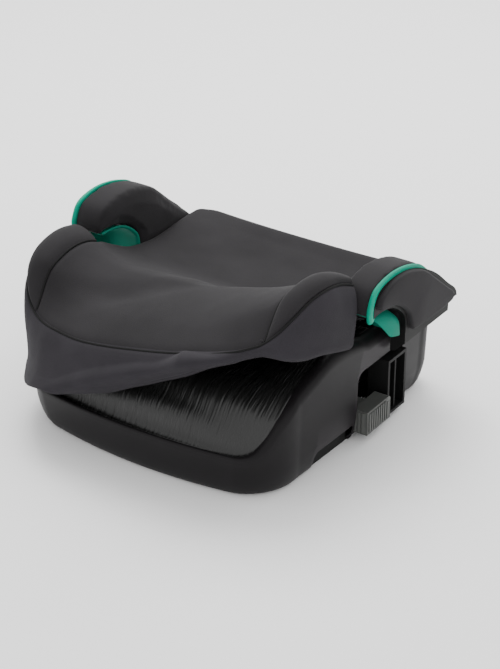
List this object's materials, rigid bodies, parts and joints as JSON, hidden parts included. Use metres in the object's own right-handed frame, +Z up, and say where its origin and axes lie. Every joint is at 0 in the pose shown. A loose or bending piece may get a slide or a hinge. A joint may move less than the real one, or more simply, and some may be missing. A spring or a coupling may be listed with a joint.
{
  "type": "backless booster seat",
  "caption": "Backless child booster seat with padded peel-up cover, armrest belt guides, sliding rigid anchor connectors and side release buttons.",
  "frame": {"origin": "middle of the underside, on the plane that the seat rests on", "axes": "+X the seat's left, +Y its rear, +Z up; the front edge of the seat faces -Y"},
  "size_m": [0.444, 0.4102, 0.2381],
  "materials": {
    "cover_fabric": "smooth knitted polyester over foam, warm dark grey, matte with a soft sheen",
    "skirt_fabric": "lighter stretch fabric, darker grey, matte",
    "shell_plastic": "moulded, fine matte texture, near black",
    "pan_plastic": "moulded with fine irregular ribbed grain, satin black",
    "inner_plastic": "plain matte black moulding",
    "button_plastic": "mid grey, ribbed grip",
    "green_trim": "bright green, satin",
    "green_guide": "bright green, satin",
    "steel": "zinc plated, satin",
    "spring_steel": "drawn wire",
    "rubber_feet": "matte"
  },
  "bodies": {
    "base": {"armrest_core_left": "inner_plastic", "armrest_core_right": "inner_plastic", "armrest_inner_pad_left": "cover_fabric", "armrest_inner_pad_right": "cover_fabric", "armrest_outer_pad_left": "cover_fabric", "armrest_outer_pad_right": "cover_fabric", "armrest_trim_left": "green_trim", "armrest_trim_right": "green_trim", "base_shell": "shell_plastic", "base_tray": "inner_plastic", "belt_guide_left": "green_guide", "belt_guide_right": "green_guide", "bolster_cover_right": "cover_fabric", "button_spring_left": "spring_steel", "button_spring_right": "spring_steel", "rear_cover": "cover_fabric", "rear_skirt": "skirt_fabric", "rubber_feet": "rubber_feet", "seat_pan": "pan_plastic", "side_carrier_left": "inner_plastic", "side_carrier_right": "inner_plastic", "side_skirt_right": "skirt_fabric", "slide_guide_left": "inner_plastic", "slide_guide_right": "inner_plastic", "tray_screws": "steel"},
    "cover_front": {"front_cover": "cover_fabric", "bolster_cover_left": "cover_fabric", "front_skirt": "skirt_fabric", "side_skirt_left": "skirt_fabric"},
    "cover_hem": {"skirt_hem": "skirt_fabric"},
    "connector_frame": {"cross_tube": "steel", "connector_arm_left": "steel", "connector_arm_right": "steel", "connector_housing_left": "inner_plastic", "connector_housing_right": "inner_plastic", "jaw_pins": "steel", "connector_spring_left": "spring_steel", "connector_spring_right": "spring_steel"},
    "jaw_left": {"jaw_left": "steel"},
    "jaw_right": {"jaw_right": "steel"},
    "connector_button_left": {"connector_button_left": "green_trim"},
    "connector_button_right": {"connector_button_right": "green_trim"},
    "side_button_left": {"side_button_left": "button_plastic"},
    "side_button_right": {"side_button_right": "button_plastic"}
  },
  "joints": [
    {"name": "cover_lift", "type": "hinge", "parent": "base", "child": "cover_front", "pos_m": [-0.175, -0.165, 0.15], "axis": [-0.8374, -0.5466, 0], "range_deg": [-21, 3]},
    {"name": "hem_curl", "type": "hinge", "parent": "cover_front", "child": "cover_hem", "pos_m": [-0.10835, -0.2095, 0.07867], "axis": [0.9246, 0.0872, 0.3707], "range_deg": [-80, 11.5]},
    {"name": "connector_slide", "type": "slide", "parent": "base", "child": "connector_frame", "axis": [0, 1, 0], "range_m": [0, 0.08]},
    {"name": "jaw_close_left", "type": "hinge", "parent": "connector_frame", "child": "jaw_left", "pos_m": [0.14, 0.162, 0.053], "axis": [1, 0, 0], "range_deg": [-28, 0]},
    {"name": "connector_release_left", "type": "slide", "parent": "connector_frame", "child": "connector_button_left", "axis": [0, 1, 0], "range_m": [0, 0.005], "stiffness_N_per_m": 400, "springref_m": -0.004, "deforming": ["connector_spring_left"]},
    {"name": "side_release_left", "type": "slide", "parent": "base", "child": "side_button_left", "axis": [-1, 0, 0], "range_m": [0, 0.005], "stiffness_N_per_m": 600, "springref_m": -0.003, "deforming": ["button_spring_left"]},
    {"name": "jaw_close_right", "type": "hinge", "parent": "connector_frame", "child": "jaw_right", "pos_m": [-0.14, 0.162, 0.053], "axis": [1, 0, 0], "range_deg": [-28, 0]},
    {"name": "connector_release_right", "type": "slide", "parent": "connector_frame", "child": "connector_button_right", "axis": [0, 1, 0], "range_m": [0, 0.005], "stiffness_N_per_m": 400, "springref_m": -0.004, "deforming": ["connector_spring_right"]},
    {"name": "side_release_right", "type": "slide", "parent": "base", "child": "side_button_right", "axis": [1, 0, 0], "range_m": [0, 0.005], "stiffness_N_per_m": 600, "springref_m": -0.003, "deforming": ["button_spring_right"]}
  ],
  "couplings": [
    {"joint": "hem_curl", "follows": "cover_lift", "ratio": 3.8095}
  ]
}
